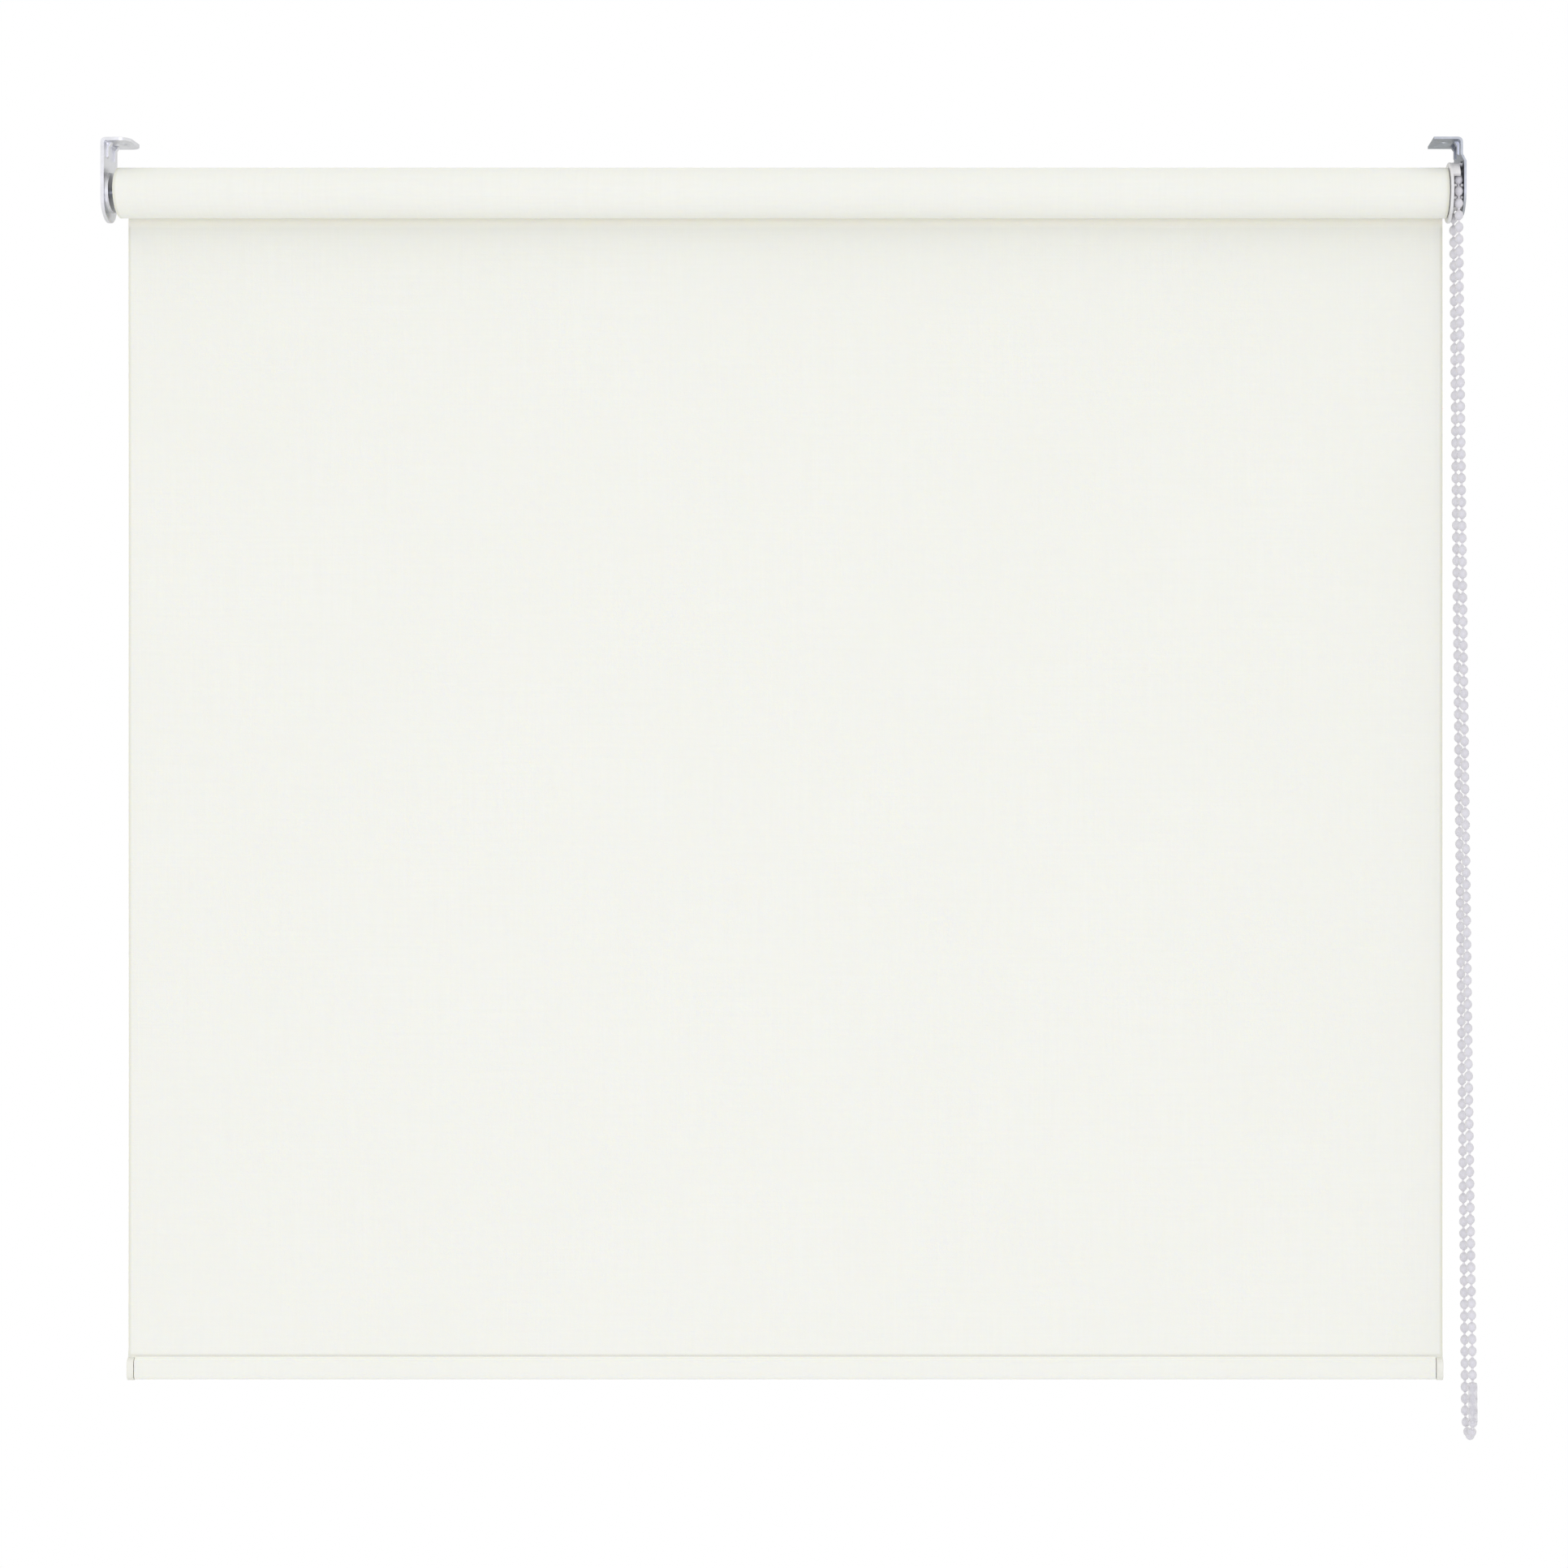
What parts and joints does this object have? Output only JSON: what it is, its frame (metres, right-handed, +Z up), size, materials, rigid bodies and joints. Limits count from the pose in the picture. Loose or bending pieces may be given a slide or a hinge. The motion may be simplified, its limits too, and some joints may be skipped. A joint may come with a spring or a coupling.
{
  "type": "roller blind",
  "caption": "Chain-operated roller blind with fabric, weighted hem, sprung idle end, wrap-spring clutch and two angled ceiling brackets.",
  "frame": {"origin": "in the ceiling plane on the tops of both bracket tabs, midway between the two fabric edges and over the roller axis", "axes": "+X along the roller towards the chain side, +Y towards the wall or window behind, +Z up"},
  "size_m": [0.6907, 0.0311, 0.6557],
  "materials": {
    "zinc_steel": "bright zinc plating, satin",
    "aluminium": "mill",
    "spring_steel": "drawn wire",
    "blind_fabric": "fine plain weave, coated, cream white",
    "white_plastic": "moulded",
    "grey_plastic": "moulded",
    "chain_bead": "moulded beads, slightly translucent",
    "clear_plastic": "clear moulded"
  },
  "bodies": {
    "mounting": {"bracket_left": "zinc_steel", "bracket_right": "zinc_steel", "drive_spindle": "grey_plastic", "retaining_clip": "spring_steel", "chain_guard": "white_plastic", "chain_on_wheel": "chain_bead", "chain_front": "chain_bead", "chain_rear": "chain_bead", "chain_connector": "clear_plastic", "fabric_sheet": "blind_fabric"},
    "roller": {"roller_tube": "aluminium", "fabric_spline": "white_plastic", "fabric_roll": "blind_fabric", "idle_plug": "grey_plastic", "idle_spring": "spring_steel", "idle_spring_seat": "grey_plastic", "tube_adaptor": "grey_plastic"},
    "chain_wheel": {"chain_wheel": "white_plastic", "clutch_spring_a": "spring_steel", "clutch_spring_b": "spring_steel"},
    "idle_pin": {"idle_pin": "zinc_steel"},
    "bottom_rail": {"hem_pocket": "blind_fabric", "bottom_bar": "aluminium", "bar_end_cap_left": "white_plastic", "bar_end_cap_right": "white_plastic"}
  },
  "joints": [
    {"name": "roller_spin", "type": "hinge", "parent": "mounting", "child": "roller", "pos_m": [0, 0, -0.026], "axis": [1, 0, 0], "range_deg": [0, 2340]},
    {"name": "chain_wheel_spin", "type": "hinge", "parent": "mounting", "child": "chain_wheel", "pos_m": [0, 0, -0.026], "axis": [1, 0, 0], "range_deg": [0, 2340], "deforming": ["chain_on_wheel"]},
    {"name": "rail_lift", "type": "slide", "parent": "mounting", "child": "bottom_rail", "axis": [0, 0, 1], "range_m": [0, 0.56], "deforming": ["fabric_sheet"]},
    {"name": "idle_pin_slide", "type": "slide", "parent": "roller", "child": "idle_pin", "axis": [1, 0, 0], "range_m": [0, 0.006], "stiffness_N_per_m": 300, "springref_m": -0.01, "deforming": ["idle_spring"]}
  ],
  "couplings": [
    {"joint": "chain_wheel_spin", "follows": "roller_spin", "ratio": 1},
    {"joint": "rail_lift", "follows": "roller_spin", "m_per_rad": 0.01371}
  ]
}
